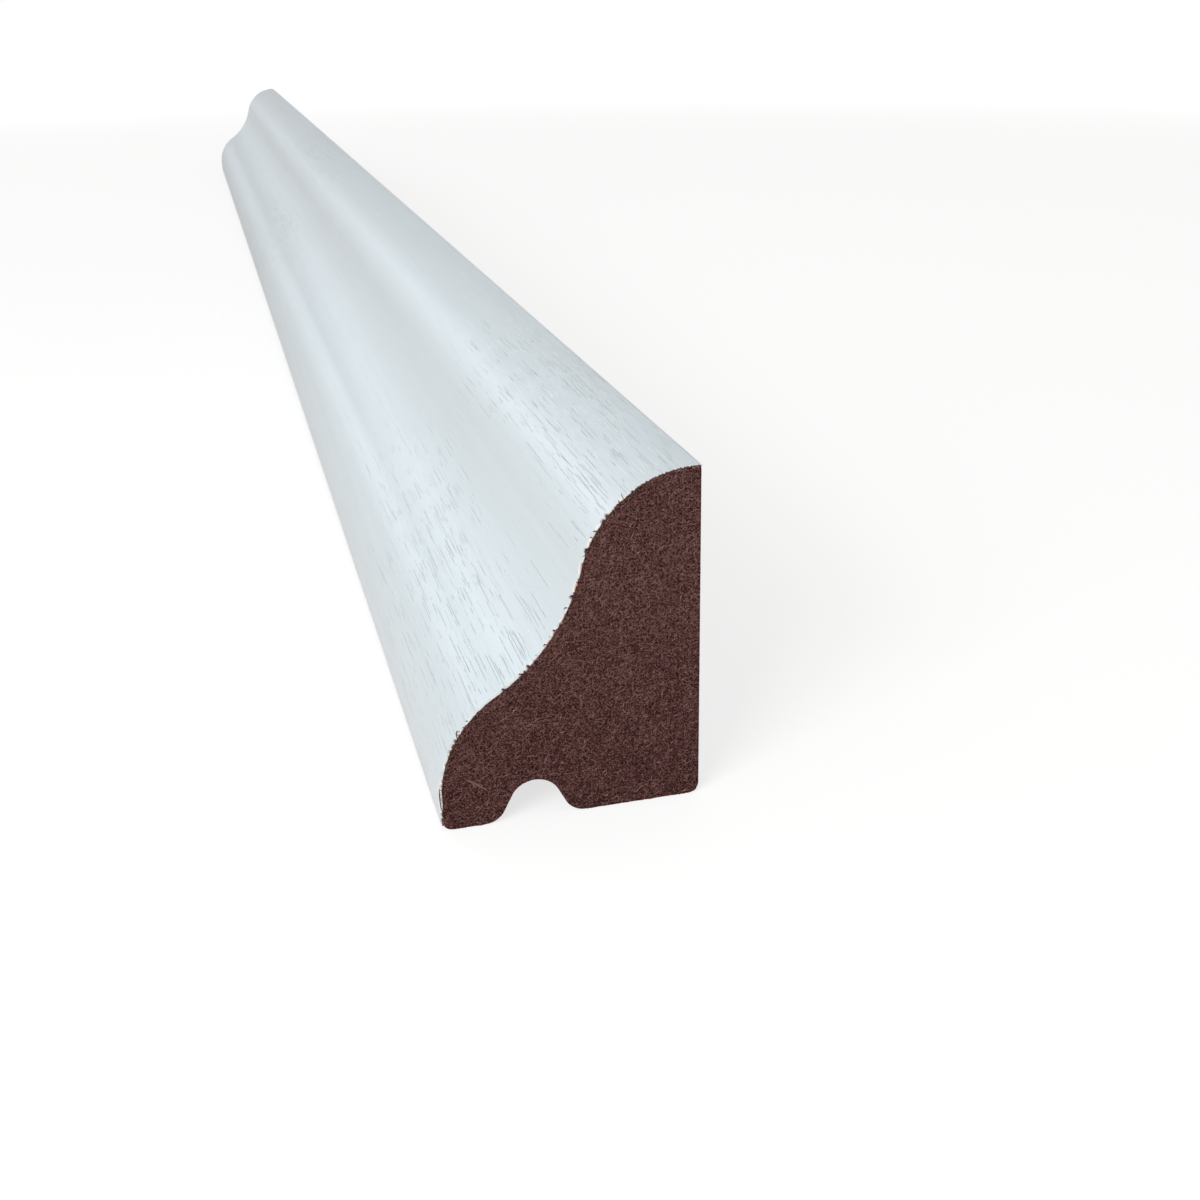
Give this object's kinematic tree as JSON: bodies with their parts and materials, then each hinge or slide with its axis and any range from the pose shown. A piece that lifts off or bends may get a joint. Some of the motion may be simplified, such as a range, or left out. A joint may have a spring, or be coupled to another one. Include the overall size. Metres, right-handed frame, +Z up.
{
  "type": "window drip moulding",
  "caption": "Straight window drip moulding with an ogee face in white wood-grain foil, a bare fibre back and a drip groove under it.",
  "frame": {"origin": "in the plane of the underside, at the middle of the length and of the depth", "axes": "+X along the length, +Y out of the flat back face, +Z up"},
  "size_m": [1, 0.044, 0.058],
  "materials": {
    "fibre_core": "dark red-brown pressed wood fibre, moulded smooth on its sides and sawn fibrous on its ends",
    "decor_foil": "cool white decor foil with fine wood-grain embossing, satin"
  },
  "bodies": {
    "root": {"core_bar": "fibre_core", "foil_wrap": "decor_foil"}
  },
  "joints": []
}
